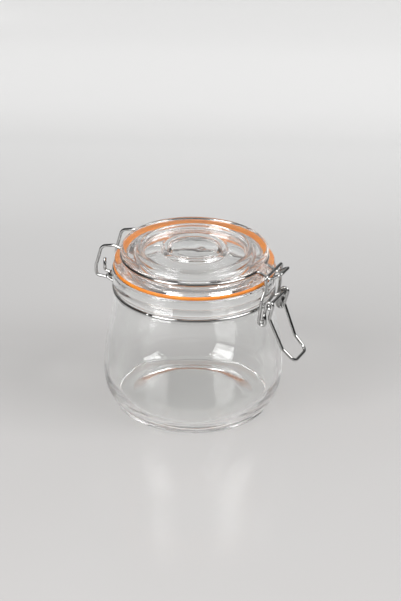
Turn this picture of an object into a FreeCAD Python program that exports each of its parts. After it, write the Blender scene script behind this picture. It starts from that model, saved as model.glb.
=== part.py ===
import FreeCAD, Part
import math
import os
import Sketcher

# Bail clamp jar: a glass storage jar whose glass lid is hinged at the back and pulled down at the
# front by a wire lever and bail, on a flat rubber gasket.
# Frame: +Z up, origin on the jar's axis in the plane of its foot. +X points from the hinge at the
# back to the clamp at the front. The whole jar is a mirror image of itself about the XZ plane.
# Lengths are millimetres and angles are degrees.

Vector = FreeCAD.Vector
UP = Vector(0, 0, 1)
SIDEWAYS = Vector(0, 1, 0)

doc = FreeCAD.newDocument("bail_clamp_jar")

SIZES = [
    # jar, outside
    ("foot_radius", 46.2),
    ("foot_flat_inner", 37.0),
    ("foot_height", 2.6),
    ("foot_round", 1.4),
    ("foot_dome", 1.6),
    ("foot_dome_radius", 28.0),
    ("heel_step", 0.9),
    ("heel_step_height", 0.6),
    ("heel_curve", 29.0),
    ("belly_radius", 53.0),
    ("belly_height", 21.0),
    ("belly_curve", 112.0),
    ("shoulder_radius", 50.4),
    ("shoulder_height", 46.0),
    ("shoulder_curve", 205.0),
    ("neck_radius", 46.0),
    ("neck_height", 71.6),
    ("neck_fillet", 0.5),
    ("neck_fillet_height", 1.0),
    ("groove_top", 74.9),
    ("bead_low_radius", 46.7),
    ("bead_bottom", 75.2),
    ("bead_high_radius", 47.1),
    ("bead_top", 79.7),
    ("bead_curve", 3.4),
    ("crease_radius", 47.0),
    ("crease_height", 80.0),
    ("collar_radius", 48.0),
    ("collar_bottom", 80.5),
    ("collar_edge", 0.5),
    ("collar_edge_height", 0.7),
    ("collar_edge_round", 0.8),
    ("finish_height", 86.0),
    ("finish_round", 1.3),
    # jar, inside
    ("mouth_radius", 41.4),
    ("mouth_depth", 9.0),
    ("throat_drop", 4.0),
    ("glass_wall", 2.8),
    ("heel_inner_curve", 25.8),
    ("heel_inner_radius", 45.0),
    ("heel_inner_height", 7.4),
    ("floor_corner", 4.0),
    ("floor_radius", 41.6),
    ("floor_height", 5.4),
    ("floor_dish", 0.4),
    # gasket
    ("gasket_gap", 0.1),
    ("seat_gap", 0.05),
    ("gasket_thickness", 1.95),
    ("gasket_outer", 47.1),
    ("gasket_inner", 39.4),
    ("gasket_round", 0.6),
    # lid, underneath
    ("plug_radius", 39.0),
    ("plug_inner", 35.6),
    ("plug_depth", 3.85),
    ("plug_round", 0.8),
    ("hollow_foot_radius", 34.0),
    ("hollow_foot_height", 89.2),
    ("hollow_round", 5.0),
    ("hollow_radius", 29.6),
    ("hollow_height", 92.8),
    ("boss_hollow_foot", 15.6),
    ("boss_hollow_radius", 13.6),
    ("boss_hollow_height", 95.4),
    # lid, on top
    ("flange_radius", 46.8),
    ("flange_round", 0.6),
    ("flange_edge", 2.2),
    ("flange_shoulder", 1.0),
    ("flange_shoulder_in", 0.8),
    ("lid_groove_radius", 41.6),
    ("lid_groove_curve", 1.4),
    ("lid_groove_flare", 0.4),
    ("lid_groove_flare_low", 0.8),
    ("lid_groove_reach", 1.1),
    ("rim_radius", 43.1),
    ("rim_side_height", 96.4),
    ("rim_curve", 3.0),
    ("rim_crown", 41.4),
    ("rim_height", 99.3),
    ("rim_inner", 32.0),
    ("rim_inner_height", 99.2),
    ("rim_inner_curve", 1.6),
    ("ledge_radius", 30.8),
    ("ledge_height", 97.8),
    ("recess_radius", 29.6),
    ("recess_wall", 0.8),
    ("recess_wall_height", 0.6),
    ("recess_curve", 0.9),
    ("recess_height", 96.4),
    ("boss_foot_radius", 20.4),
    ("boss_foot_curve", 0.8),
    ("boss_wall_radius", 19.4),
    ("boss_wall_height", 0.4),
    ("boss_radius", 18.3),
    ("boss_height", 99.2),
    ("boss_round", 1.0),
    # wire parts
    ("wire_radius", 0.95),
    ("running_gap", 0.08),
    ("neck_band_radius", 47.0),
    ("neck_band_height", 73.3),
    ("lid_band_radius", 42.6),
    ("lid_band_height", 93.8),
    # hinge at the back
    ("hinge_reach", 49.6),
    ("hinge_height", 75.9),
    ("hinge_arm_side", 15.9),
    ("hinge_arm_lead", 3.0),
    ("hinge_arm_bend", 2.2),
    ("hinge_bar_bend", 1.7),
    ("ear_side", 13.0),
    ("ear_lead", 2.5),
    ("ear_root_bend", 2.0),
    ("ear_rise_reach", 45.5),
    ("ear_top", 95.3),
    ("ear_top_bend", 6.0),
    ("ear_fall_reach", 54.0),
    ("ear_fall_height", 93.1),
    ("ear_fall_bend", 4.5),
    ("ear_back", 57.8),
    ("ear_back_height", 80.0),
    ("ear_back_bend", 9.0),
    ("ear_foot_bend", 2.2),
    ("ear_tail_overhang", 0.4),
    ("ear_tail_bend", 1.6),
    ("ear_tail_top", 85.8),
    # clamp at the front
    ("lever_pin_reach", 52.65),
    ("lever_pin_height", 76.6),
    ("lever_pin_half", 12.2),
    ("pin_arm_side", 8.6),
    ("lever_side", 11.2),
    ("lever_end_side", 8.6),
    ("lever_end_reach", 68.4),
    ("lever_end_height", 43.2),
    ("lever_end_bend", 4.0),
    ("lever_bend_side", 9.6),
    ("lever_bend_reach", 60.7),
    ("lever_bend_height", 50.3),
    ("lever_bend", 6.0),
    ("lever_root_reach", 52.7),
    ("lever_root_height", 68.6),
    ("lever_root_bend", 3.5),
    ("bail_pin_reach", 49.2),
    ("bail_pin_height", 66.5),
    ("bail_pin_overhang", 1.5),
    ("bail_pin_bend", 1.2),
    ("bail_side", 13.4),
    ("bail_top_side", 11.2),
    ("bail_top_reach", 50.2),
    ("bail_top_height", 93.85),
    ("bail_top_bend", 1.7),
    ("bail_knee_reach", 49.7),
    ("bail_knee_height", 85.5),
    ("bail_hip_reach", 48.6),
    ("bail_hip_height", 79.8),
    ("bail_arm_bend", 3.0),
    ("bail_tail_reach", 1.5),
    ("bail_tail_height", 5.5),
    ("tongue_side", 5.8),
    ("tongue_lead", 3.0),
    ("tongue_dip_reach", 50.2),
    ("tongue_dip_height", 90.5),
    ("tongue_dip_bend", 2.5),
    ("tongue_tip_reach", 56.8),
    ("tongue_tip_height", 94.7),
    ("tongue_tip_bend", 1.6),
]

sheet = doc.addObject("Spreadsheet::Sheet", "Sizes")
for row, (alias, value) in enumerate(SIZES, start=1):
    sheet.set(f"A{row}", alias)
    sheet.set(f"B{row}", str(value))
    sheet.setAlias(f"B{row}", alias)
doc.recompute()


def size(alias):
    """The number that the sheet holds under this alias."""
    return float(getattr(sheet, alias))


def sheet_terms(expression):
    """An expression in aliases, with each alias named in full as the sheet's own."""
    words = expression.replace("(", "( ").replace(")", " )").split()
    aliases = dict(SIZES)
    return " ".join("Sizes." + word if word in aliases else word for word in words)


# ---------------------------------------------------------------- turned parts


def arc_centre(start, end, radius):
    """The centre of the arc from start to end: to their left if radius is positive, else right."""
    half = (end - start) * 0.5
    rise = math.sqrt(max(radius * radius - half.Length**2, 0.0))
    left = Vector(-half.y, half.x, 0).normalize()
    return start + half + left * math.copysign(rise, radius)


def add_edge(sketch, start, end, radius):
    """Draws one edge of an outline. Gives its number and which of its ends is the start."""
    if not radius:
        return sketch.addGeometry(Part.LineSegment(start, end), False), 1, 2
    centre = arc_centre(start, end, radius)
    first, last = (start, end) if radius > 0 else (end, start)
    angles = [math.atan2(p.y - centre.y, p.x - centre.x) for p in (first, last)]
    if angles[1] < angles[0]:
        angles[1] += 2 * math.pi
    circle = Part.Circle(centre, Vector(0, 0, 1), abs(radius))
    number = sketch.addGeometry(Part.ArcOfCircle(circle, *angles), False)
    return (number, 1, 2) if radius > 0 else (number, 2, 1)


def bind(sketch, kind, where, expression):
    """Adds a dimension to a sketch and binds it to the sheet."""
    number = sketch.addConstraint(Sketcher.Constraint(kind, *where, sheet.evalExpression(expression)))
    sketch.setExpression(f"Constraints[{number}]", expression)


def pin_point(sketch, edge, end, across, height):
    """Holds one end of an edge at its distance from the axis and its height."""
    for kind, expression, axis in (("DistanceX", across, -2), ("DistanceY", height, -1)):
        if expression == "0":
            sketch.addConstraint(Sketcher.Constraint("PointOnObject", edge, end, axis))
        else:
            bind(sketch, kind, (-1, 1, edge, end), expression)


def turned_part(label, outline):
    """A body turned about Z from a closed outline.

    The outline is a list of (distance from the axis, height, curve), each an expression in the
    sheet's aliases. The curve is the radius of the arc to the next point, "0" for a straight
    edge, and bends to the right where it starts with a minus sign.
    """
    body = doc.addObject("PartDesign::Body", label)
    body.Label = label
    sketch = body.newObject("Sketcher::SketchObject", label + "_outline")
    plane = next(f for f in body.Origin.OriginFeatures if f.Role == "XZ_Plane")
    sketch.AttachmentSupport = [(plane, "")]
    sketch.MapMode = "FlatFace"

    rows = [tuple(sheet_terms(item) for item in row) for row in outline]
    points = [Vector(*(float(sheet.evalExpression(e)) for e in row[:2]), 0) for row in rows]
    edges = []
    for n, (_, _, curve) in enumerate(rows):
        radius = 0.0 if curve == "0" else float(sheet.evalExpression(curve))
        edges.append(add_edge(sketch, points[n], points[(n + 1) % len(points)], radius))
    for n, (number, start, end) in enumerate(edges):
        following, its_start, _ = edges[(n + 1) % len(edges)]
        sketch.addConstraint(Sketcher.Constraint("Coincident", number, end, following, its_start))
        pin_point(sketch, number, start, rows[n][0], rows[n][1])
        curve = rows[n][2]
        if curve != "0":
            bind(sketch, "Radius", (number,), curve.lstrip("- "))

    turn = body.newObject("PartDesign::Revolution", label + "_turn")
    turn.Profile = sketch
    turn.ReferenceAxis = (sketch, ["V_Axis"])
    turn.Angle = 360
    body.Tip = turn
    return body


def make_jar_body():
    """The jar: foot ring, round belly, neck with a wire groove and a bead, and a flat sealing finish."""
    return turned_part(
        "jar_body",
        [
            ("0", "foot_dome", "0"),
            ("foot_dome_radius", "foot_dome", "0"),
            ("foot_flat_inner", "0", "0"),
            ("foot_radius - foot_round", "0", "foot_round"),
            ("foot_radius", "foot_round", "0"),
            ("foot_radius", "foot_height", "0"),
            ("foot_radius + heel_step", "foot_height + heel_step_height", "heel_curve"),
            ("belly_radius", "belly_height", "belly_curve"),
            ("shoulder_radius", "shoulder_height", "- shoulder_curve"),
            ("neck_radius + neck_fillet", "neck_height - neck_fillet_height", "0"),
            ("neck_radius", "neck_height", "0"),
            ("neck_radius", "groove_top", "0"),
            ("bead_low_radius", "bead_bottom", "bead_curve"),
            ("bead_high_radius", "bead_top", "0"),
            ("crease_radius", "crease_height", "0"),
            ("collar_radius - collar_edge", "collar_bottom", "collar_edge_round"),
            ("collar_radius", "collar_bottom + collar_edge_height", "0"),
            ("collar_radius", "finish_height - finish_round", "finish_round"),
            ("collar_radius - finish_round", "finish_height", "0"),
            ("mouth_radius + finish_round", "finish_height", "finish_round"),
            ("mouth_radius", "finish_height - finish_round", "0"),
            ("mouth_radius", "finish_height - mouth_depth", "0"),
            ("neck_radius - glass_wall", "neck_height - throat_drop", "shoulder_curve"),
            ("shoulder_radius - glass_wall", "shoulder_height", "- belly_curve"),
            ("belly_radius - glass_wall", "belly_height", "- heel_inner_curve"),
            ("heel_inner_radius", "heel_inner_height", "- floor_corner"),
            ("floor_radius", "floor_height", "0"),
            ("0", "floor_height - floor_dish", "0"),
        ],
    )


def make_lid():
    """The lid: a hollow plug for the mouth, a flange, a wire groove, a rim, a ledge and a round boss."""
    seat = "finish_height + gasket_gap + gasket_thickness + seat_gap"
    plug_bottom = seat + " - plug_depth"
    shoulder = seat + " + flange_edge"
    groove_bottom, groove_top = "lid_band_height - lid_groove_reach", "lid_band_height + lid_groove_reach"
    return turned_part(
        "lid",
        [
            ("0", "boss_hollow_height", "0"),
            ("boss_hollow_radius", "boss_hollow_height", "0"),
            ("boss_hollow_foot", "hollow_height", "0"),
            ("hollow_radius", "hollow_height", "hollow_round"),
            ("hollow_foot_radius", "hollow_foot_height", "0"),
            ("plug_inner", plug_bottom, "0"),
            ("plug_radius - plug_round", plug_bottom, "plug_round"),
            ("plug_radius", plug_bottom + " + plug_round", "0"),
            ("plug_radius", seat, "0"),
            ("flange_radius - flange_round", seat, "flange_round"),
            ("flange_radius", seat + " + flange_round", "0"),
            ("flange_radius", shoulder, "flange_shoulder"),
            ("flange_radius - flange_shoulder_in", shoulder + " + flange_shoulder", "0"),
            ("lid_groove_radius + lid_groove_flare_low", groove_bottom, "- lid_groove_curve"),
            ("lid_groove_radius", "lid_band_height", "- lid_groove_curve"),
            ("lid_groove_radius + lid_groove_flare", groove_top, "0"),
            ("rim_radius", "rim_side_height", "rim_curve"),
            ("rim_crown", "rim_height", "0"),
            ("rim_inner", "rim_inner_height", "rim_inner_curve"),
            ("ledge_radius", "ledge_height", "0"),
            ("recess_radius + recess_wall", "recess_height + recess_wall_height", "- recess_curve"),
            ("recess_radius", "recess_height", "0"),
            ("boss_foot_radius", "recess_height", "- boss_foot_curve"),
            ("boss_wall_radius", "recess_height + boss_wall_height", "0"),
            ("boss_radius", "boss_height - boss_round", "boss_round"),
            ("boss_radius - boss_round", "boss_height", "0"),
            ("0", "boss_height", "0"),
        ],
    )


def make_gasket():
    """The gasket: a flat rubber ring between the finish and the lid's flange."""
    bottom = "finish_height + gasket_gap"
    top = bottom + " + gasket_thickness"
    return turned_part(
        "gasket",
        [
            ("gasket_inner", bottom, "0"),
            ("gasket_outer - gasket_round", bottom, "gasket_round"),
            ("gasket_outer", bottom + " + gasket_round", "0"),
            ("gasket_outer", top + " - gasket_round", "gasket_round"),
            ("gasket_outer - gasket_round", top, "0"),
            ("gasket_inner", top, "0"),
        ],
    )


# ------------------------------------------------------------------ wire parts


def rounded_edges(corners):
    """Straight edges through (point, bend radius) corners, each corner rounded to its radius."""
    edges = []
    here = corners[0][0]
    for n in range(1, len(corners) - 1):
        point, radius = corners[n]
        come = (point - corners[n - 1][0]).normalize()
        go = (corners[n + 1][0] - point).normalize()
        turn = come.getAngle(go)
        cut = radius * math.tan(turn / 2)
        enter = point - come * cut
        leave = point + go * cut
        inward = (go - come).normalize()
        middle = point + inward * (radius / math.cos(turn / 2) - radius)
        if here.distanceToPoint(enter) > 1e-6:
            edges.append(Part.LineSegment(here, enter).toShape())
        edges.append(Part.Arc(enter, middle, leave).toShape())
        here = leave
    edges.append(Part.LineSegment(here, corners[-1][0]).toShape())
    return edges


def ring_point(radius, height, angle):
    """The point of a level ring at this angle from +X, in radians."""
    return Vector(radius * math.cos(angle), radius * math.sin(angle), height)


def ring_edge(radius, height, first, last):
    """A level arc about the jar's axis between two angles, in radians."""
    angles = (first, (first + last) / 2, last)
    return Part.Arc(*(ring_point(radius, height, a) for a in angles)).toShape()


def leave_ring(radius, height, side, lead, front):
    """Where a wire leaves a ring for an arm at this sideways distance.

    Gives the angle at which the wire leaves the ring, and the corner where its straight run,
    level and tangent to the ring, meets the arm.
    """
    angle = math.asin((side + lead) / radius)
    run = lead / math.cos(angle)
    across = radius * math.cos(angle) + run * math.sin(angle)
    if front:
        return angle, Vector(across, side, height)
    return math.pi - angle, Vector(-across, side, height)


def half_wire(label, edges):
    """The half of a bent wire on the +Y side, swept along its path from the mirror plane."""
    path = Part.Wire(Part.__sortEdges__(edges))
    start = path.OrderedVertexes[0].Point
    heading = path.OrderedEdges[0].tangentAt(path.OrderedEdges[0].FirstParameter)
    section = Part.Wire(Part.makeCircle(size("wire_radius"), start, heading))
    half = doc.addObject("Part::Feature", label + "_half")
    half.Shape = path.makePipeShell([section], True, False)
    return half


def straight_wire(label, start, end):
    """A straight piece of wire between two points."""
    rod = doc.addObject("Part::Cylinder", label)
    rod.setExpression("Radius", "Sizes.wire_radius")
    rod.Height = (end - start).Length
    rod.Placement = FreeCAD.Placement(start, FreeCAD.Rotation(UP, end - start))
    return rod


def eye(label, centre):
    """A closed wire eye that turns on a sideways pin, with a running gap around it."""
    ring = doc.addObject("Part::Torus", label)
    ring.setExpression("Radius1", "2 * Sizes.wire_radius + Sizes.running_gap")
    ring.setExpression("Radius2", "Sizes.wire_radius")
    ring.Placement = FreeCAD.Placement(centre, FreeCAD.Rotation(UP, SIDEWAYS))
    return ring


def mirrored_part(label, pieces, whole=()):
    """One part made of pieces on the +Y side, their mirror images and pieces made whole."""
    images = []
    for piece in pieces:
        image = doc.addObject("Part::Mirroring", piece.Name + "_image")
        image.Source = piece
        image.Normal = SIDEWAYS
        images.append(image)
    part = doc.addObject("Part::MultiFuse", label)
    part.Label = label
    part.Shapes = [*pieces, *images, *whole]
    part.Refine = True
    return part


def side_point(reach, side, height):
    """A point at this reach along X, sideways distance and height."""
    return Vector(reach, side, height)


def eye_radius():
    """The radius of an eye's centre line."""
    return 2 * size("wire_radius") + size("running_gap")


def make_neck_band():
    """The neck band: a ring in the neck groove with the hinge bar behind and the lever's pin in front."""
    radius, height = size("neck_band_radius"), size("neck_band_height")
    hinge = side_point(-size("hinge_reach"), size("hinge_arm_side"), size("hinge_height"))
    leaves, corner = leave_ring(radius, height, hinge.y, size("hinge_arm_lead"), front=False)
    edges = [ring_edge(radius, height, 0, leaves)]
    edges += rounded_edges(
        [
            (ring_point(radius, height, leaves), 0),
            (corner, size("hinge_arm_bend")),
            (hinge, size("hinge_bar_bend")),
            (side_point(hinge.x, 0, hinge.z), 0),
        ]
    )
    band = half_wire("neck_band_wire", edges)

    pin = side_point(size("lever_pin_reach"), size("lever_pin_half"), size("lever_pin_height"))
    side = size("pin_arm_side")
    root = side_point(math.sqrt(radius**2 - side**2), side, height)
    arm = straight_wire("neck_band_arm", root, side_point(pin.x, side, pin.z))
    bar = straight_wire("neck_band_pin", side_point(pin.x, -pin.y, pin.z), pin)
    bar.setExpression("Height", "2 * Sizes.lever_pin_half")
    return mirrored_part("neck_band", [band, arm], [bar])


def make_lid_band():
    """The lid band: tongue in front, a ring in the lid's groove, and two ears hooked on the hinge."""
    radius, height = size("lid_band_radius"), size("lid_band_height")
    side = size("tongue_side")
    tip = side_point(size("tongue_tip_reach"), side, size("tongue_tip_height"))
    dip = side_point(size("tongue_dip_reach"), side, size("tongue_dip_height"))
    joins, front_corner = leave_ring(radius, height, side, size("tongue_lead"), front=True)
    edges = rounded_edges(
        [
            (side_point(tip.x, 0, tip.z), 0),
            (tip, size("tongue_tip_bend")),
            (dip, size("tongue_dip_bend")),
            (front_corner, size("tongue_dip_bend")),
            (ring_point(radius, height, joins), 0),
        ]
    )

    ear = size("ear_side")
    leaves, back_corner = leave_ring(radius, height, ear, size("ear_lead"), front=False)
    edges.append(ring_edge(radius, height, joins, leaves))
    back = -size("ear_back")
    hinge = side_point(-size("hinge_reach"), ear, size("hinge_height"))
    hook = eye_radius()
    under = side_point(hinge.x, ear, hinge.z - hook)
    over = side_point(hinge.x, ear, hinge.z + hook)
    edges += rounded_edges(
        [
            (ring_point(radius, height, leaves), 0),
            (back_corner, size("ear_root_bend")),
            (side_point(-size("ear_rise_reach"), ear, size("ear_top")), size("ear_top_bend")),
            (side_point(-size("ear_fall_reach"), ear, size("ear_fall_height")), size("ear_fall_bend")),
            (side_point(back, ear, size("ear_back_height")), size("ear_back_bend")),
            (side_point(back, ear, under.z), size("ear_foot_bend")),
            (under, 0),
        ]
    )
    around = side_point(hinge.x + hook, ear, hinge.z)
    edges.append(Part.Arc(under, around, over).toShape())
    tail = hinge.x - hook - size("ear_tail_overhang")
    edges += rounded_edges(
        [
            (over, 0),
            (side_point(tail, ear, over.z), size("ear_tail_bend")),
            (side_point(tail, ear, size("ear_tail_top")), 0),
        ]
    )
    return mirrored_part("lid_band", [half_wire("lid_band_wire", edges)])


def make_lever():
    """The lever: a long wire handle that turns on the neck band's pin and carries the bail."""
    side, end_side = size("lever_side"), size("lever_end_side")
    end = side_point(size("lever_end_reach"), end_side, size("lever_end_height"))
    pin = side_point(size("lever_pin_reach"), side, size("lever_pin_height"))
    bail_pin = side_point(size("bail_pin_reach"), side, size("bail_pin_height"))
    hook = eye_radius()
    bend = side_point(size("lever_bend_reach"), size("lever_bend_side"), size("lever_bend_height"))
    root = side_point(size("lever_root_reach"), side, size("lever_root_height"))
    edges = rounded_edges(
        [
            (side_point(end.x, 0, end.z), 0),
            (end, size("lever_end_bend")),
            (bend, size("lever_bend")),
            (root, size("lever_root_bend")),
            (side_point(pin.x + hook + size("running_gap"), side, pin.z), 0),
        ]
    )
    handle = half_wire("lever_wire", edges)
    pivot = eye("lever_eye", pin)
    crank_top = side_point(pin.x - hook, side, pin.z)
    outer = side_point(bail_pin.x, size("bail_side") + size("bail_pin_overhang"), bail_pin.z)
    corners = [(crank_top, 0), (bail_pin, size("bail_pin_bend")), (outer, 0)]
    crank = half_wire("lever_crank", rounded_edges(corners))
    return mirrored_part("lever", [handle, pivot, crank])


def make_bail():
    """The bail: a link whose crossbar holds the tongue and whose hooks turn on the lever's crank."""
    side, top_side = size("bail_side"), size("bail_top_side")
    top = side_point(size("bail_top_reach"), top_side, size("bail_top_height"))
    pin = side_point(size("bail_pin_reach"), side, size("bail_pin_height"))
    hook = eye_radius()
    inner = side_point(pin.x - hook, side, pin.z)
    outer = side_point(pin.x + hook, side, pin.z)
    edges = rounded_edges(
        [
            (side_point(top.x, 0, top.z), 0),
            (top, size("bail_top_bend")),
            (side_point(size("bail_knee_reach"), top_side, size("bail_knee_height")), size("bail_arm_bend")),
            (side_point(size("bail_hip_reach"), side, size("bail_hip_height")), size("bail_arm_bend")),
            (inner, 0),
        ]
    )
    edges.append(Part.Arc(inner, side_point(pin.x, side, pin.z - hook), outer).toShape())
    tail = side_point(pin.x + size("bail_tail_reach"), side, pin.z + size("bail_tail_height"))
    edges += rounded_edges([(outer, 0), (tail, 0)])
    return mirrored_part("bail", [half_wire("bail_wire", edges)])


# ------------------------------------------------------------ build and export

parts = [
    make_jar_body(),
    make_neck_band(),
    make_lid(),
    make_gasket(),
    make_lid_band(),
    make_lever(),
    make_bail(),
]
doc.recompute()

for item in doc.Objects:
    if {"Invalid", "Error"} & set(item.State):
        raise SystemExit(f"{item.Label} did not recompute: {item.State}")
for part in parts:
    shape = part.Shape
    if shape.isNull() or not shape.isValid() or len(shape.Solids) != 1:
        raise SystemExit(f"{part.Label} is not one valid solid")

os.makedirs("parts", exist_ok=True)
for part in parts:
    part.Shape.exportStep(f"parts/{part.Label}.step")
    print(f"{part.Label}: {part.Shape.Volume / 1000:.2f} cm3, {len(part.Shape.Faces)} faces")
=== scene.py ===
import math

import bpy
import numpy as np
from mathutils import Matrix, Vector


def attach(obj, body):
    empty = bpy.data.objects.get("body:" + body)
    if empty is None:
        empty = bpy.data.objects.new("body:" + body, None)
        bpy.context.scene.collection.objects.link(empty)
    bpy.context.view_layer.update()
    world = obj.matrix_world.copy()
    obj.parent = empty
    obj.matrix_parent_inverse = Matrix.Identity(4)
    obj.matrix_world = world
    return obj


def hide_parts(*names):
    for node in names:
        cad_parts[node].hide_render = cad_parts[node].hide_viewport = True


# A glass storage jar with a hinged glass lid, a rubber gasket and a wire bail clamp, built over the
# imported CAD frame. Shapes below are written in millimetres and built in metres.
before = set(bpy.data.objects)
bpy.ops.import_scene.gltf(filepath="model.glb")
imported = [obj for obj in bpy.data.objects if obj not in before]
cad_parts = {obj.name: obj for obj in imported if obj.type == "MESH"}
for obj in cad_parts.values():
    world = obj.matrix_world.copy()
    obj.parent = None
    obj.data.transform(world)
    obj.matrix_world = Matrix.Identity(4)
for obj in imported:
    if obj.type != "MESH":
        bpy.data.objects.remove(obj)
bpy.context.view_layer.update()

MM = 0.001
scene = bpy.context.scene

# an outline's fine step, the turn in degrees and the run that a kept point may stand for
OUTLINE_STEP, OUTLINE_TURN, OUTLINE_RUN = 0.12, 5.0, 2.6
SEGMENTS = 224
ON_AXIS = 1e-6


# ------------------------------------------------------------------ mesh tools


def link(name, data):
    """A new object in the scene holding this data."""
    obj = bpy.data.objects.new(name, data)
    scene.collection.objects.link(obj)
    return obj


def solid(name, verts, faces, material):
    """A smooth-shaded mesh object from points in millimetres."""
    mesh = bpy.data.meshes.new(name)
    mesh.from_pydata([tuple(c * MM for c in v) for v in verts], [], faces)
    mesh.materials.append(material)
    mesh.polygons.foreach_set("use_smooth", [True] * len(mesh.polygons))
    mesh.validate()
    mesh.update()
    return link(name, mesh)


def arc(start, end, radius, step):
    """Points from start up to end on an arc that bends left, or right if radius is negative."""
    start, end = np.array(start, float), np.array(end, float)
    half = (end - start) / 2
    length = np.linalg.norm(half)
    if not radius:
        count = max(1, round(2 * length / step))
        return [start + (end - start) * k / count for k in range(count)]
    rise = math.sqrt(max(radius * radius - length * length, 0.0)) * math.copysign(1, radius)
    centre = start + half + np.array([-half[1], half[0]]) / length * rise
    sweep = 2 * math.asin(min(1.0, length / abs(radius))) * math.copysign(1, radius)
    first = math.atan2(*(start - centre)[::-1])
    count = max(2, round(abs(radius * sweep) / step))
    angles = [first + sweep * k / count for k in range(count)]
    return [centre + abs(radius) * np.array([math.cos(a), math.sin(a)]) for a in angles]


def soften(points, reach, closed):
    """Rounds a finely stepped outline, as molten glass rounds, over this distance."""
    steps = max(1, round(reach / OUTLINE_STEP))
    weights = np.exp(-0.5 * (np.arange(-3 * steps, 3 * steps + 1) / steps) ** 2)
    weights /= weights.sum()
    pts = np.array(points)
    if closed:
        padded = np.concatenate([pts[-3 * steps :], pts, pts[: 3 * steps]])
    else:  # the outline starts and ends on the axis, so it goes on as its own mirror image
        mirror = np.array([-1.0, 1.0])
        head = pts[1 : 3 * steps + 1][::-1] * mirror
        tail = pts[-3 * steps - 1 : -1][::-1] * mirror
        padded = np.concatenate([head, pts, tail])
    return np.stack([np.convolve(padded[:, k], weights, "valid") for k in (0, 1)], 1)


def thin_out(points):
    """Keeps the points where an outline has turned or run far enough."""
    kept, turned = [0], 0.0
    for n in range(1, len(points) - 1):
        before, after = points[n] - points[n - 1], points[n + 1] - points[n]
        cross = before[0] * after[1] - before[1] * after[0]
        turned += abs(math.degrees(math.atan2(cross, before @ after)))
        if turned >= OUTLINE_TURN or np.linalg.norm(points[n] - points[kept[-1]]) >= OUTLINE_RUN:
            kept.append(n)
            turned = 0.0
    kept.append(len(points) - 1)
    return points[kept]


def lathe(name, rows, material, rounding, closed=False):
    """A turned piece from rows of (distance from the axis, height, arc radius to the next row)."""
    fine = []
    count = len(rows) if closed else len(rows) - 1
    for n in range(count):
        fine += arc(rows[n][:2], rows[(n + 1) % len(rows)][:2], rows[n][2], OUTLINE_STEP)
    if not closed:
        fine.append(np.array(rows[-1][:2], float))
    line = thin_out(soften(fine, rounding, closed))
    if not closed:
        line[0][0] = line[-1][0] = 0.0
    turns = [2 * math.pi * k / SEGMENTS for k in range(SEGMENTS)]
    verts, faces, rings = [], [], []
    for r, z in line:
        if r < ON_AXIS:
            rings.append([len(verts)] * SEGMENTS)
            verts.append((0.0, 0.0, z))
        else:
            rings.append(list(range(len(verts), len(verts) + SEGMENTS)))
            verts += [(r * math.cos(t), r * math.sin(t), z) for t in turns]
    pairs = list(zip(rings, rings[1:] + (rings[:1] if closed else [])))
    for low, high in pairs if closed else pairs[: len(rings) - 1]:
        for k in range(SEGMENTS):
            m = (k + 1) % SEGMENTS
            quad = list(dict.fromkeys((low[k], low[m], high[m], high[k])))
            if len(quad) > 2:
                faces.append(quad)
    return solid(name, verts, faces, material)


# ------------------------------------------------------------------ wire tools


def bent(corners, step=6.0):
    """Points along straight runs through (point, bend radius) corners, bends in steps of degrees."""
    path = [Vector(corners[0][0])]
    for n in range(1, len(corners) - 1):
        point, radius = Vector(corners[n][0]), corners[n][1]
        come = (point - Vector(corners[n - 1][0])).normalized()
        go = (Vector(corners[n + 1][0]) - point).normalized()
        turn = come.angle(go)
        cut = radius * math.tan(turn / 2)
        centre = point + (go - come).normalized() * (radius / math.cos(turn / 2))
        first = point - come * cut - centre
        axis = come.cross(go).normalized()
        count = max(2, math.ceil(math.degrees(turn) / step))
        for k in range(count + 1):
            path.append(centre + Matrix.Rotation(turn * k / count, 3, axis) @ first)
    path.append(Vector(corners[-1][0]))
    return path


def ring_run(radius, height, first, last, step=2.5):
    """Points along a level ring between two angles in radians, in steps of degrees."""
    count = max(2, math.ceil(abs(math.degrees(last - first)) / step))
    angles = [first + (last - first) * k / count for k in range(count + 1)]
    return [Vector((radius * math.cos(a), radius * math.sin(a), height)) for a in angles]


def side_run(centre, side, radius, first, last, step=9.0):
    """Points round a sideways pin between two angles, in degrees from +X towards +Z."""
    count = max(2, math.ceil(abs(last - first) / step))
    run = []
    for k in range(count + 1):
        a = math.radians(first + (last - first) * k / count)
        run.append(Vector((centre[0] + radius * math.cos(a), side, centre[1] + radius * math.sin(a))))
    return run


def mirrored(path):
    """The path from its mirror image's far end to its own, through the mirror plane."""
    image = [Vector((p.x, -p.y, p.z)) for p in reversed(path)]
    return image[:-1] + path


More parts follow.
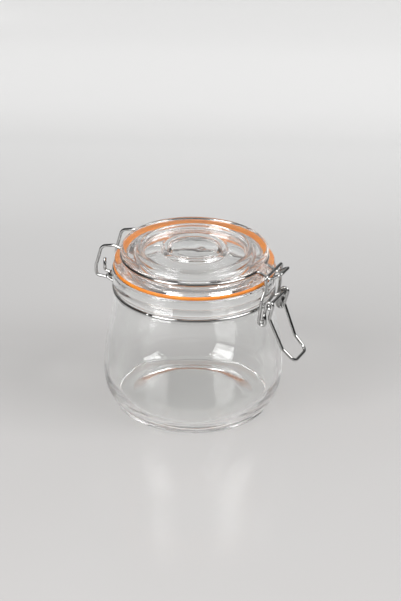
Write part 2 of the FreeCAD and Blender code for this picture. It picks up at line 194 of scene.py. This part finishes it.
def tube(path, radius, sides=20, closed=False, swell=None, bevel=0.14):
    """Points and faces of a round wire along a path, with bevelled ends."""
    pts = [path[0]]
    for p in path[1:]:
        if (p - pts[-1]).length > 1e-4:
            pts.append(p)
    if closed and (pts[0] - pts[-1]).length < 1e-4:
        pts.pop()
    sizes = [radius] * len(pts)
    if swell:
        run = [0.0]
        for a, b in zip(pts, pts[1:]):
            run.append(run[-1] + (b - a).length)
        sizes = [radius * swell(s, run[-1]) for s in run]
    if not closed:
        start, end = (pts[1] - pts[0]).normalized(), (pts[-1] - pts[-2]).normalized()
        first, last = pts[0], pts[-1]
        pts = [first, first + start * bevel] + pts[1:-1] + [last - end * bevel, last]
        sizes = [sizes[0] - bevel] + [sizes[0]] + sizes[1:-1] + [sizes[-1]] + [sizes[-1] - bevel]
    count = len(pts)

    def heading(n):
        if closed:
            return (pts[(n + 1) % count] - pts[n - 1]).normalized()
        return (pts[min(n + 1, count - 1)] - pts[max(n - 1, 0)]).normalized()

    forward = heading(0)
    across = forward.orthogonal().normalized()
    verts, faces = [], []
    for n in range(count):
        new = heading(n)
        across = forward.rotation_difference(new) @ across
        across = (across - new * across.dot(new)).normalized()
        forward = new
        upright = forward.cross(across)
        for k in range(sides):
            a = 2 * math.pi * k / sides
            verts.append(pts[n] + (across * math.cos(a) + upright * math.sin(a)) * sizes[n])
    rings = [list(range(n * sides, (n + 1) * sides)) for n in range(count)]
    if closed:  # the last ring joins the first where their points lie nearest
        gaps = [(verts[rings[-1][0]] - verts[rings[0][k]]).length for k in range(sides)]
        shift = gaps.index(min(gaps))
        rings.append(rings[0][shift:] + rings[0][:shift])
    for low, high in zip(rings, rings[1:]):
        for k in range(sides):
            m = (k + 1) % sides
            faces.append((low[k], low[m], high[m], high[k]))
    if not closed:
        faces += [tuple(reversed(rings[0])), tuple(rings[-1])]
    return verts, faces


def wire_piece(name, tubes, material):
    """One object from several tubes."""
    verts, faces = [], []
    for more_verts, more_faces in tubes:
        base = len(verts)
        verts += more_verts
        faces += [tuple(i + base for i in face) for face in more_faces]
    return solid(name, verts, faces, material)


def leave_ring(radius, side, lead, front):
    """The angle where a wire leaves a ring, and the corner where its level run meets an arm."""
    angle = math.asin((side + lead) / radius)
    across = radius * math.cos(angle) + lead / math.cos(angle) * math.sin(angle)
    return (angle, across) if front else (math.pi - angle, -across)


# ------------------------------------------------------------------- materials


def new_material(name):
    """An empty node material, its Principled shader and a function that adds nodes."""
    material = bpy.data.materials.new(name)
    material.use_nodes = True
    tree = material.node_tree
    shader = tree.nodes["Principled BSDF"]

    def add(kind, inputs=None, **settings):
        node = tree.nodes.new(kind)
        for key, value in settings.items():
            setattr(node, key, value)
        for key, value in (inputs or {}).items():
            if isinstance(value, bpy.types.NodeSocket):
                tree.links.new(value, node.inputs[key])
            else:
                node.inputs[key].default_value = value
        return node

    return material, shader, add, tree.links.new


def glass_material(name, wave_size, wave_depth):
    """Clear pressed soda-lime glass: faint waves from the mould, handling smudges, a green cast."""
    material, shader, add, join = new_material(name)
    shader.inputs["Base Color"].default_value = (0.984, 0.989, 0.986, 1)
    shader.inputs["Transmission Weight"].default_value = 1.0
    shader.inputs["IOR"].default_value = 1.5
    place = add("ShaderNodeTexCoord").outputs["Object"]
    smudge = add("ShaderNodeTexNoise", {"Vector": place, "Scale": 46.0, "Detail": 5.0, "Roughness": 0.62})
    rough = add("ShaderNodeMapRange", {"Value": smudge.outputs["Fac"], "From Min": 0.52, "From Max": 0.78,
                                       "To Min": 0.0, "To Max": 0.045})
    join(rough.outputs["Result"], shader.inputs["Roughness"])
    wave = add("ShaderNodeTexNoise", {"Vector": place, "Scale": 1 / wave_size, "Detail": 1.5,
                                      "Roughness": 0.4})
    bump = add("ShaderNodeBump", {"Height": wave.outputs["Fac"], "Strength": 1.0, "Distance": wave_depth})
    join(bump.outputs["Normal"], shader.inputs["Normal"])
    # light passes through to what is behind, as it does through thin clear glass
    path = add("ShaderNodeLightPath")
    passing = add("ShaderNodeMath", {0: path.outputs["Is Shadow Ray"], 1: path.outputs["Is Diffuse Ray"]},
                  operation="MAXIMUM")
    clear = add("ShaderNodeBsdfTransparent", {"Color": (0.960, 0.963, 0.961, 1)})
    mix = add("ShaderNodeMixShader", {0: passing.outputs[0], 1: shader.outputs[0], 2: clear.outputs[0]})
    join(mix.outputs[0], material.node_tree.nodes["Material Output"].inputs["Surface"])
    return material


def wire_material():
    """Bright zinc-plated drawn wire with dull patches and a fine grain."""
    material, shader, add, join = new_material("zinc_wire")
    shader.inputs["Metallic"].default_value = 1.0
    place = add("ShaderNodeTexCoord").outputs["Object"]
    patch = add("ShaderNodeTexNoise", {"Vector": place, "Scale": 210.0, "Detail": 4.0, "Roughness": 0.6})
    tone = add("ShaderNodeValToRGB", {"Fac": patch.outputs["Fac"]})
    tone.color_ramp.elements[0].position, tone.color_ramp.elements[1].position = 0.3, 0.75
    tone.color_ramp.elements[0].color = (0.36, 0.36, 0.355, 1)
    tone.color_ramp.elements[1].color = (0.52, 0.52, 0.512, 1)
    join(tone.outputs["Color"], shader.inputs["Base Color"])
    rough = add("ShaderNodeMapRange", {"Value": patch.outputs["Fac"], "From Min": 0.3, "From Max": 0.8,
                                       "To Min": 0.05, "To Max": 0.15})
    join(rough.outputs["Result"], shader.inputs["Roughness"])
    grain = add("ShaderNodeTexNoise", {"Vector": place, "Scale": 1500.0, "Detail": 2.0})
    bump = add("ShaderNodeBump", {"Height": grain.outputs["Fac"], "Strength": 0.15, "Distance": 0.00004})
    join(bump.outputs["Normal"], shader.inputs["Normal"])
    return material


def rubber_material():
    """Orange moulded rubber, mottled, with a fine grain and a little light scattered inside."""
    material, shader, add, join = new_material("orange_rubber")
    place = add("ShaderNodeTexCoord").outputs["Object"]
    mottle = add("ShaderNodeTexNoise", {"Vector": place, "Scale": 130.0, "Detail": 4.0, "Roughness": 0.65})
    tone = add("ShaderNodeValToRGB", {"Fac": mottle.outputs["Fac"]})
    tone.color_ramp.elements[0].position, tone.color_ramp.elements[1].position = 0.3, 0.72
    tone.color_ramp.elements[0].color = (0.66, 0.180, 0.006, 1)
    tone.color_ramp.elements[1].color = (0.75, 0.248, 0.014, 1)
    join(tone.outputs["Color"], shader.inputs["Base Color"])
    rough = add("ShaderNodeMapRange", {"Value": mottle.outputs["Fac"], "To Min": 0.38, "To Max": 0.66})
    join(rough.outputs["Result"], shader.inputs["Roughness"])
    grain = add("ShaderNodeTexNoise", {"Vector": place, "Scale": 2300.0, "Detail": 3.0})
    bump = add("ShaderNodeBump", {"Height": grain.outputs["Fac"], "Strength": 0.5, "Distance": 0.00006})
    join(bump.outputs["Normal"], shader.inputs["Normal"])
    shader.inputs["Subsurface Weight"].default_value = 0.25
    shader.inputs["Subsurface Radius"].default_value = (1.0, 0.35, 0.1)
    shader.inputs["Subsurface Scale"].default_value = 0.0012
    return material


def table_material():
    """The pale, faintly glossy table top, with painted light making it paler towards the wall behind it.
    """
    material, shader, add, join = new_material("pale_table")
    place = add("ShaderNodeTexCoord").outputs["Object"]
    cloud = add("ShaderNodeTexNoise", {"Vector": place, "Scale": 5.0, "Detail": 3.0})
    tone = add("ShaderNodeValToRGB", {"Fac": cloud.outputs["Fac"]})
    tone.color_ramp.elements[0].color = (0.437, 0.425, 0.419, 1)
    tone.color_ramp.elements[1].color = (0.466, 0.460, 0.456, 1)
    # painted light: the table's colour blends into a paler tone towards the wall, standing in for more
    # light falling on the far table
    along = add("ShaderNodeVectorMath", {0: place, 1: tuple(AWAY)}, operation="DOT_PRODUCT")
    far = add("ShaderNodeMapRange", {"Value": along.outputs["Value"], "From Min": 0.08, "From Max": 0.40})
    tone_and_painted_light = add("ShaderNodeMix", {"Factor": far.outputs["Result"]}, data_type="RGBA")
    join(tone.outputs["Color"], tone_and_painted_light.inputs["A"])
    tone_and_painted_light.inputs["B"].default_value = (0.63, 0.628, 0.625, 1)
    join(tone_and_painted_light.outputs["Result"], shader.inputs["Base Color"])
    shader.inputs["Roughness"].default_value = 0.17
    shader.inputs["Specular IOR Level"].default_value = 0.4
    return material


JAR_GLASS = glass_material("jar_glass", wave_size=0.017, wave_depth=0.00022)
LID_GLASS = glass_material("lid_glass", wave_size=0.012, wave_depth=0.00014)
WIRE = wire_material()
RUBBER = rubber_material()

# ----------------------------------------------------------------- the glass

# outlines are rows of (distance from the axis, height, arc radius to the next row)
PUSH_UP, FLOOR = 1.6, 5.0
BELLY_RADIUS, BELLY_INSIDE, BELLY_HEIGHT = 53.0, 50.2, 21.0
SHOULDER_HEIGHT = 46.0
GROOVE_RADIUS, COLLAR_RADIUS, BORE_RADIUS = 46.0, 48.0, 41.4
JAR_TOP, TOP_ROUND = 86.0, 1.3

jar = lathe(
    "jar_glass_body",
    [
        # the base, pushed up inside its foot ring
        (0, PUSH_UP, 0),
        (28.0, PUSH_UP, 0),
        (37.0, 0.0, 0),
        (44.8, 0.0, 1.4),
        (46.2, 1.4, 0),
        (46.2, 2.6, 0),
        # the belly
        (47.1, 3.2, 29.0),
        (BELLY_RADIUS, BELLY_HEIGHT, 112.0),
        (50.4, SHOULDER_HEIGHT, -205.0),
        (46.5, 70.6, 0),
        # the neck groove, the bead over it and the collar
        (GROOVE_RADIUS, 71.6, 0),
        (GROOVE_RADIUS, 74.9, 0),
        (46.7, 75.2, 3.4),
        (47.1, 79.7, 0),
        (47.0, 80.0, 0),
        (47.5, 80.5, 0.8),
        (COLLAR_RADIUS, 81.2, 0),
        (COLLAR_RADIUS, 84.7, TOP_ROUND),
        (46.7, JAR_TOP, 0),
        (42.7, JAR_TOP, TOP_ROUND),
        # the inside
        (BORE_RADIUS, 84.7, 0),
        (BORE_RADIUS, 77.0, 0),
        (43.2, 67.6, 205.0),
        (47.6, SHOULDER_HEIGHT, -112.0),
        (BELLY_INSIDE, BELLY_HEIGHT, -25.8),
        (45.0, 7.4, -4.0),
        (41.6, 5.4, 0),
        (0, FLOOR, 0),
    ],
    JAR_GLASS,
    rounding=0.16,
)
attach(jar, "jar")
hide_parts("jar_body")

PLUG_BOTTOM, PLUG_INSIDE, PLUG_RADIUS, PLUG_ROUND = 84.25, 35.6, 39.0, 0.8
SEAT = 88.1
FLANGE_RADIUS, FLANGE_ROUND = 46.8, 0.6
RECESS_HEIGHT, LID_TOP = 96.4, 99.2

lid = lathe(
    "lid_glass_disc",
    [
        # underneath: the hollow boss and the hollow plug
        (0, 95.4, 0),
        (13.6, 95.4, 0),
        (15.6, 92.9, 0),
        (29.6, 92.8, 5.0),
        (34.0, 89.2, 0),
        (PLUG_INSIDE, PLUG_BOTTOM, 0),
        (38.2, PLUG_BOTTOM, PLUG_ROUND),
        (PLUG_RADIUS, PLUG_BOTTOM + PLUG_ROUND, 0),
        # the flange, the wire's groove and the rim
        (PLUG_RADIUS, SEAT, 0),
        (46.2, SEAT, FLANGE_ROUND),
        (FLANGE_RADIUS, SEAT + FLANGE_ROUND, 0),
        (FLANGE_RADIUS, SEAT + 2.2, 1.0),
        (46.0, SEAT + 3.2, 0),
        (42.4, 92.7, -1.4),
        (41.6, 93.8, -1.4),
        (42.0, 94.9, 0),
        (43.1, 96.4, 3.0),
        (41.4, 99.3, 0),
        (32.0, LID_TOP, 1.6),
        # the recess and the boss
        (30.8, 97.8, 0),
        (30.4, 97.0, -0.9),
        (29.6, RECESS_HEIGHT, 0),
        (20.4, RECESS_HEIGHT, -0.8),
        (19.4, 96.8, 0),
        (18.3, 98.2, 1.0),
        (17.3, LID_TOP, 0),
        (0, LID_TOP, 0),
    ],
    LID_GLASS,
    rounding=0.14,
)
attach(lid, "lid")
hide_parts("lid")

GASKET_INSIDE, GASKET_OUTSIDE, GASKET_ROUND = 39.4, 47.1, 0.9
GASKET_BOTTOM, GASKET_TOP = 86.04, 87.98

gasket = lathe(
    "gasket_ring",
    [
        (GASKET_INSIDE, GASKET_BOTTOM, 0),
        (46.6, GASKET_BOTTOM, GASKET_ROUND),
        (GASKET_OUTSIDE, 86.7, 0),
        (GASKET_OUTSIDE, 87.2, GASKET_ROUND),
        (46.6, GASKET_TOP, 0),
        (GASKET_INSIDE, GASKET_TOP, 0),
    ],
    RUBBER,
    rounding=0.12,
    closed=True,
)
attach(gasket, "lid")
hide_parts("gasket")

# ------------------------------------------------------------------ the wires

# a place is (distance to the front, height), and a side is a distance from the jar's mid plane
WIRE_RADIUS = 0.95
HOOK = 1.98  # from a pin's axis to the middle of the wire that is bent round it
HINGE, PIN, CRANK = (-49.6, 75.9), (52.65, 76.6), (49.2, 66.5)
WELD_REACH_NEAR, WELD_REACH_FAR = 1.1, 0.9

NECK_RADIUS, NECK_HEIGHT, NECK_LEAD = 47.0, 73.3, 3.0
BUTT_ANGLE, BUTT_GAP = math.radians(-97.5), 0.4
HINGE_BAR_SIDE, PIN_ARM_SIDE, PIN_END = 15.9, 8.6, 12.2

LID_RADIUS, LID_HEIGHT = 42.6, 93.8
TONGUE_TIP, TONGUE_DIP, TONGUE_SIDE, TONGUE_LEAD = (56.8, 94.7), (50.2, 90.5), 5.8, 3.0
EAR_TOP, EAR_SHOULDER, EAR_BACK = (-45.5, 95.3), (-54.0, 93.1), (-57.8, 80.0)
EAR_SIDE, EAR_LEAD, EAR_TAIL_TOP, EAR_TAIL_SLACK = 13.0, 2.5, 85.8, 0.4

GRIP, GRIP_SIDE = (68.4, 43.2), 8.6
HANDLE_BEND, HANDLE_BEND_SIDE = (60.7, 50.3), 9.6
HANDLE_KNEE, LEVER_SIDE = (52.7, 68.6), 11.2
HANDLE_LEAN, EYE_TURN, CRANK_END = 0.08, 351, 14.9

CROSSBAR, CROSSBAR_SIDE = (50.2, 93.85), 11.2
BAIL_BEND, BAIL_WAIST, BAIL_SIDE = (49.7, 85.5), (48.6, 79.8), 13.4
BAIL_TAIL = (1.5, 5.5)  # from the crank to the hook's end


def at(place, side):
    """A point from its place and side."""
    return (place[0], side, place[1])


def weld(near, far):
    """How much thicker a wire is along its length: welded where it starts, and where it ends."""

    def swell(run, length):
        start = math.exp(-((run / WELD_REACH_NEAR) ** 2))
        end = math.exp(-(((length - run) / WELD_REACH_FAR) ** 2))
        return 1 + near * start + far * end

    return swell


def stepped(start, end, count=14):
    """Evenly spaced points from start to end."""
    a, b = Vector(start), Vector(end)
    return [a + (b - a) * k / count for k in range(count + 1)]


def opened(loop, radius, height, angle, gap):
    """A loop that holds a level ring, opened on that ring at this angle by this gap."""
    first, last = (
        Vector((radius * math.cos(a), radius * math.sin(a), height))
        for a in (angle + gap / 2 / radius, angle - gap / 2 / radius)
    )
    nearest = min(range(len(loop)), key=lambda n: (loop[n] - first).length)
    return [first] + loop[nearest + 1 :] + loop[:nearest] + [last]


def neck_band():
    """The neck wire, butted at the front left, with its hinge bar, two arms and the lever's pin."""
    leaves, across = leave_ring(NECK_RADIUS, HINGE_BAR_SIDE, NECK_LEAD, front=False)
    ring = ring_run(NECK_RADIUS, NECK_HEIGHT, 0, leaves)
    half = ring[:-1] + bent(
        [
            (ring[-1], 0),
            (at((across, NECK_HEIGHT), HINGE_BAR_SIDE), 2.2),
            (at(HINGE, HINGE_BAR_SIDE), 1.7),
            (at(HINGE, 0), 0),
        ]
    )
    loop = opened(mirrored(half), NECK_RADIUS, NECK_HEIGHT, BUTT_ANGLE, BUTT_GAP)
    tubes = [tube(loop, WIRE_RADIUS)]
    root = math.sqrt(NECK_RADIUS**2 - PIN_ARM_SIDE**2)
    for side in (-PIN_ARM_SIDE, PIN_ARM_SIDE):
        arm = stepped(at((root, NECK_HEIGHT), side), at(PIN, side))
        tubes.append(tube(arm, WIRE_RADIUS, swell=weld(near=0.28, far=0.22)))
    pin = stepped(at(PIN, -PIN_END), at(PIN, PIN_END), count=30)
    tubes.append(tube(pin, WIRE_RADIUS, bevel=0.2))
    return wire_piece("neck_wire", tubes, WIRE)


def lid_band():
    """The lid wire: the tongue, the ring in the lid's groove and the two ears on the hinge bar."""
    joins, front = leave_ring(LID_RADIUS, TONGUE_SIDE, TONGUE_LEAD, front=True)
    leaves, back = leave_ring(LID_RADIUS, EAR_SIDE, EAR_LEAD, front=False)
    ring = ring_run(LID_RADIUS, LID_HEIGHT, joins, leaves)
    path = bent(
        [
            (at(TONGUE_TIP, 0), 0),
            (at(TONGUE_TIP, TONGUE_SIDE), 1.6),
            (at(TONGUE_DIP, TONGUE_SIDE), 2.5),
            (at((front, LID_HEIGHT), TONGUE_SIDE), 2.5),
            (ring[0], 0),
        ]
    )
    path += ring[1:-1]
    under, over = HINGE[1] - HOOK, HINGE[1] + HOOK
    path += bent(
        [
            (ring[-1], 0),
            (at((back, LID_HEIGHT), EAR_SIDE), 2.0),
            (at(EAR_TOP, EAR_SIDE), 6.0),
            (at(EAR_SHOULDER, EAR_SIDE), 4.5),
            (at(EAR_BACK, EAR_SIDE), 9.0),
            (at((EAR_BACK[0], under), EAR_SIDE), 2.2),
            (at((HINGE[0], under), EAR_SIDE), 0),
        ]
    )
    path += side_run(HINGE, EAR_SIDE, HOOK, -90, 90)[1:-1]
    tail = HINGE[0] - HOOK - EAR_TAIL_SLACK
    path += bent(
        [
            (at((HINGE[0], over), EAR_SIDE), 0),
            (at((tail, over), EAR_SIDE), 1.6),
            (at((tail, EAR_TAIL_TOP), EAR_SIDE), 0),
        ]
    )
    return wire_piece("lid_wire", [tube(mirrored(path), WIRE_RADIUS)], WIRE)


def lever():
    """The lever: its handle, an eye wound on the pin at each side and the crank under each eye."""
    handle = bent(
        [
            (at(GRIP, 0), 0),
            (at(GRIP, GRIP_SIDE), 4.0),
            (at(HANDLE_BEND, HANDLE_BEND_SIDE), 6.0),
            (at(HANDLE_KNEE, LEVER_SIDE), 3.5),
            (at((PIN[0] + HOOK + HANDLE_LEAN, PIN[1]), LEVER_SIDE), 0),
        ]
    )
    over = side_run(PIN, LEVER_SIDE, HOOK, 0, 180)
    crank = bent([(over[-1], 0), (at(CRANK, LEVER_SIDE), 1.2), (at(CRANK, CRANK_END), 0)])
    tubes = [tube(mirrored(handle + over[1:-1] + crank), WIRE_RADIUS)]
    for side in (-LEVER_SIDE, LEVER_SIDE):
        tubes.append(tube(side_run(PIN, side, HOOK, 0, EYE_TURN), WIRE_RADIUS, closed=True))
    return wire_piece("lever_wire", tubes, WIRE)


def bail():
    """The bail: its crossbar, two arms and a hook round each crank."""
    path = bent(
        [
            (at(CROSSBAR, 0), 0),
            (at(CROSSBAR, CROSSBAR_SIDE), 1.7),
            (at(BAIL_BEND, CROSSBAR_SIDE), 3.0),
            (at(BAIL_WAIST, BAIL_SIDE), 3.0),
            (at((CRANK[0] - HOOK, CRANK[1]), BAIL_SIDE), 0),
        ]
    )
    path += side_run(CRANK, BAIL_SIDE, HOOK, 180, 360)[1:-1]
    path.append(Vector(at((CRANK[0] + HOOK, CRANK[1]), BAIL_SIDE)))
    path.append(Vector(at((CRANK[0] + BAIL_TAIL[0], CRANK[1] + BAIL_TAIL[1]), BAIL_SIDE)))
    return wire_piece("bail_wire", [tube(mirrored(path), WIRE_RADIUS)], WIRE)


for piece, body, node in (
    (neck_band(), "jar", "neck_band"),
    (lid_band(), "lid", "lid_band"),
    (lever(), "lever", "lever"),
    (bail(), "bail", "bail"),
):
    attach(piece, body)
    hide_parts(node)

# ----------------------------------------------------------- camera directions

TARGET = Vector((0, 0, 0.05))
AZIMUTH = math.radians(24.6)
ELEVATION = math.radians(25.89)
ROLL = math.radians(0.96)
AWAY = Vector((-math.sin(AZIMUTH), math.cos(AZIMUTH), 0))
RIGHT = Vector((math.cos(AZIMUTH), math.sin(AZIMUTH), 0))
FORWARD = AWAY * math.cos(ELEVATION) - Vector((0, 0, math.sin(ELEVATION)))
UPWARD = AWAY * math.sin(ELEVATION) + Vector((0, 0, math.cos(ELEVATION)))

# ------------------------------------------------------------------- the stage

HALF_WIDTH, NEAR_EDGE, WALL_TOP = 0.55, -0.9, 0.14
COVE_START, COVE_RADIUS, COVE_STEPS = 0.42, 0.12, 12
UNDER_FOOT = 0.0003


def table_top():
    """The table runs back, bends up in a cove and rises as a low wall."""
    line = [(NEAR_EDGE, 0.0), (COVE_START, 0.0)]
    line += [
        (COVE_START + COVE_RADIUS * math.sin(a), COVE_RADIUS * (1 - math.cos(a)))
        for a in (math.radians(90 * k / COVE_STEPS) for k in range(1, COVE_STEPS + 1))
    ]
    line.append((COVE_START + COVE_RADIUS, WALL_TOP))
    verts = []
    for along, up in line:
        for side in (-HALF_WIDTH, HALF_WIDTH):
            verts.append(RIGHT * side + AWAY * along + Vector((0, 0, up - UNDER_FOOT)))
    faces = [(2 * n, 2 * n + 1, 2 * n + 3, 2 * n + 2) for n in range(len(line) - 1)]
    return solid("table_and_wall", [v / MM for v in verts], faces, table_material())


table_top()


def area_light(name, centre, size, power):
    """A rectangular soft light at centre that faces the jar."""
    data = bpy.data.lights.new(name, "AREA")
    data.shape = "RECTANGLE"
    data.size, data.size_y = size
    data.energy = power
    lamp = link(name, data)
    lamp.location = centre
    lamp.rotation_mode = "QUATERNION"
    lamp.rotation_quaternion = (TARGET - centre).to_track_quat("-Z", "Y")
    return lamp


LAMP_DISTANCE = 1.3


def around(right, away, up):
    """A point given by its distances right, away from the camera and up, in metres."""
    return RIGHT * right + AWAY * away + Vector((0, 0, up))


def seen_from_jar(azimuth, elevation):
    """A lamp's place by its direction from the jar: azimuth from the camera to the right, degrees."""
    a, e = math.radians(azimuth), math.radians(elevation)
    flat = LAMP_DISTANCE * math.cos(e)
    return TARGET + around(flat * math.sin(a), -flat * math.cos(a), LAMP_DISTANCE * math.sin(e))


area_light("softbox_left", seen_from_jar(-46, 30), size=(0.66, 1.05), power=18.4)
area_light("softbox_right", seen_from_jar(70, 44), size=(0.68, 0.78), power=15.2)

DIM_TONE, WALL_TONE, CEILING_TONE = 0.04, 0.28, 0.90
world = bpy.data.worlds.new("studio")
scene.world = world
world.use_nodes = True
sky = world.node_tree


def sky_node(kind, inputs, **settings):
    """A node of the world's tree, with its inputs set or linked."""
    node = sky.nodes.new(kind)
    for key, value in settings.items():
        setattr(node, key, value)
    for key, value in inputs.items():
        if isinstance(value, bpy.types.NodeSocket):
            sky.links.new(value, node.inputs[key])
        else:
            node.inputs[key].default_value = value
    return node


# a dark room with a pale ceiling and a grey wall behind the jar
place = sky_node("ShaderNodeTexCoord", {}).outputs["Generated"]


def toward(direction, start, end, tone):
    """The room's tone near a direction: dim up to the first cosine, this tone from the last one on."""
    cosine = sky_node("ShaderNodeVectorMath", {0: place, 1: tuple(direction)}, operation="DOT_PRODUCT")
    span = {"Value": cosine.outputs["Value"], "From Min": start, "From Max": end, "To Min": DIM_TONE,
            "To Max": tone}
    return sky_node("ShaderNodeMapRange", span, interpolation_type="SMOOTHSTEP").outputs["Result"]


behind = toward((AWAY * 0.85 + Vector((0, 0, 0.5))).normalized(), 0.70, 0.88, WALL_TONE)
ceiling = toward(Vector((0, 0, 1)), 0.75, 0.90, CEILING_TONE)
brightness = sky_node("ShaderNodeMath", {0: behind, 1: ceiling}, operation="MAXIMUM")
sky.links.new(brightness.outputs[0], sky.nodes["Background"].inputs["Strength"])
sky.nodes["Background"].inputs["Color"].default_value = (1, 1, 1, 1)

# ------------------------------------------------------------------ the camera

DISTANCE = 1.1804
SHIFT_RIGHT, SHIFT_UP = 0.00385, 0.01234
BOUNCES = 24
lens = bpy.data.cameras.new("camera")
lens.sensor_fit = "AUTO"
lens.sensor_width = 36.0
lens.lens = 119.8
lens.clip_start = 0.01
camera = link("camera", lens)
eye_at = TARGET + RIGHT * SHIFT_RIGHT + UPWARD * SHIFT_UP - FORWARD * DISTANCE
image_right = RIGHT * math.cos(ROLL) + UPWARD * math.sin(ROLL)
image_up = UPWARD * math.cos(ROLL) - RIGHT * math.sin(ROLL)
turn = Matrix((image_right, image_up, -FORWARD)).transposed()
camera.matrix_world = Matrix.Translation(eye_at) @ turn.to_4x4()
scene.camera = camera

scene.view_settings.view_transform = "Standard"
scene.cycles.max_bounces = BOUNCES
scene.cycles.transmission_bounces = BOUNCES
scene.cycles.glossy_bounces = BOUNCES
scene.cycles.transparent_max_bounces = BOUNCES
